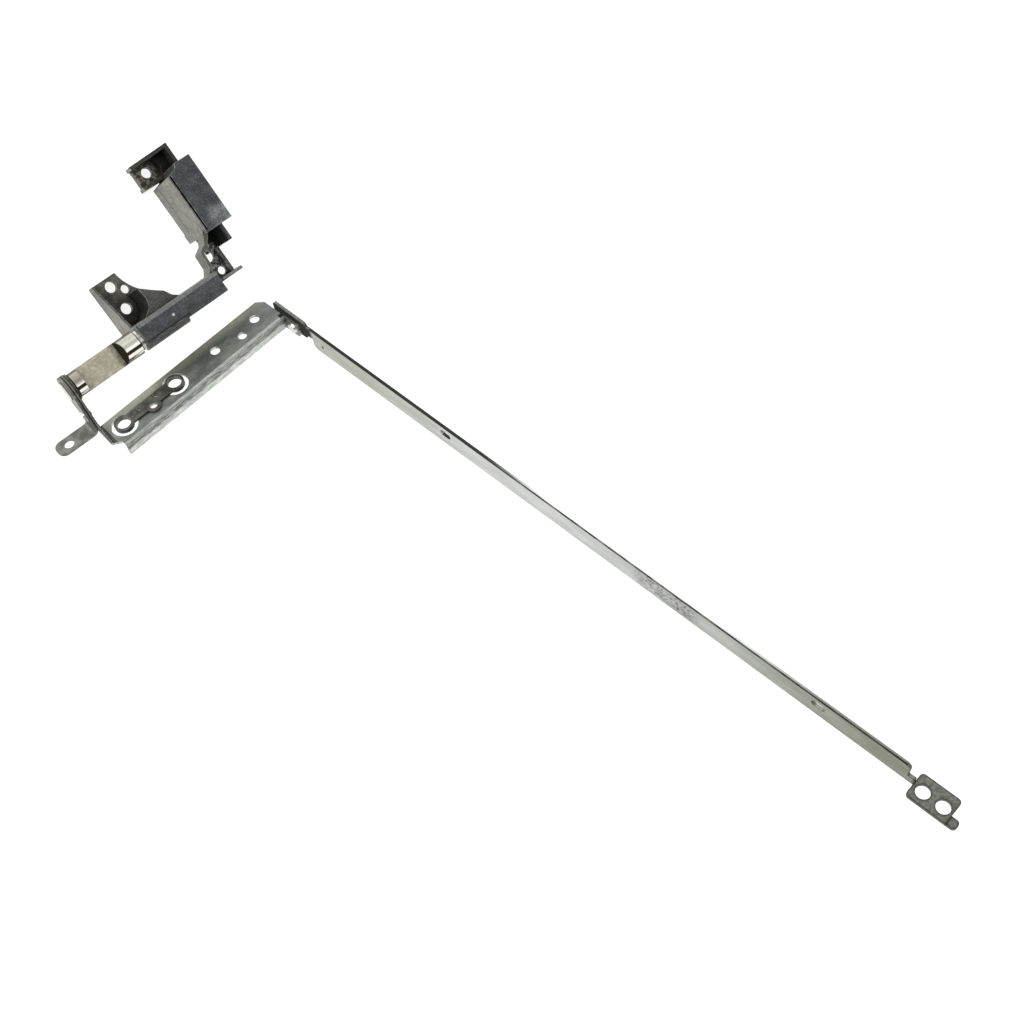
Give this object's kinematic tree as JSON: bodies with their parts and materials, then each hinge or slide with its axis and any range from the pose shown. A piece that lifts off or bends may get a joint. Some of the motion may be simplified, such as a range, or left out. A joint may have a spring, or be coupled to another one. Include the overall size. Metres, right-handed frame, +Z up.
{
  "type": "laptop hinge",
  "caption": "Friction hinge for a laptop lid: die-cast base, turned shaft with milled flat, folded lid plate with screw link, and a long side rail with an end plate.",
  "frame": {"origin": "midpoint between the base casting's two screw holes, on its underside", "axes": "+X along the hinge axis from the lid's ear towards the casting's box, +Y from the hinge axis towards the casting's tray, +Z up out of the laptop base; the lid is stored open by 135 degrees"},
  "size_m": [0.0903, 0.217, 0.1697],
  "materials": {
    "dark_casting": "satin die casting, dark passivated",
    "polished_shaft": "polished nickel with a matt milled flat",
    "spring_steel": "greased spring steel",
    "bright_steel": "bright zinc",
    "dark_steel": "dark zinc, satin",
    "satin_steel": "satin zinc",
    "zinc_steel": "grey-green zinc, satin",
    "rail_steel": "pale olive-grey zinc, satin"
  },
  "bodies": {
    "base": {"base_casting": "dark_casting", "friction_sleeve": "spring_steel", "retaining_pin": "bright_steel"},
    "lid_side": {"hinge_shaft": "polished_shaft", "thrust_washer": "bright_steel", "ear_washer": "dark_steel", "tab_bracket": "satin_steel", "lid_plate": "zinc_steel", "ear_rivet": "bright_steel", "screw_link": "dark_steel", "link_rivets": "dark_steel", "lid_rail": "rail_steel", "rail_rivet": "bright_steel"}
  },
  "joints": [
    {"name": "lid_hinge", "type": "hinge", "parent": "base", "child": "lid_side", "pos_m": [0, -0.0121, 0.018], "axis": [1, 0, 0], "range_deg": [-135, 45]}
  ]
}
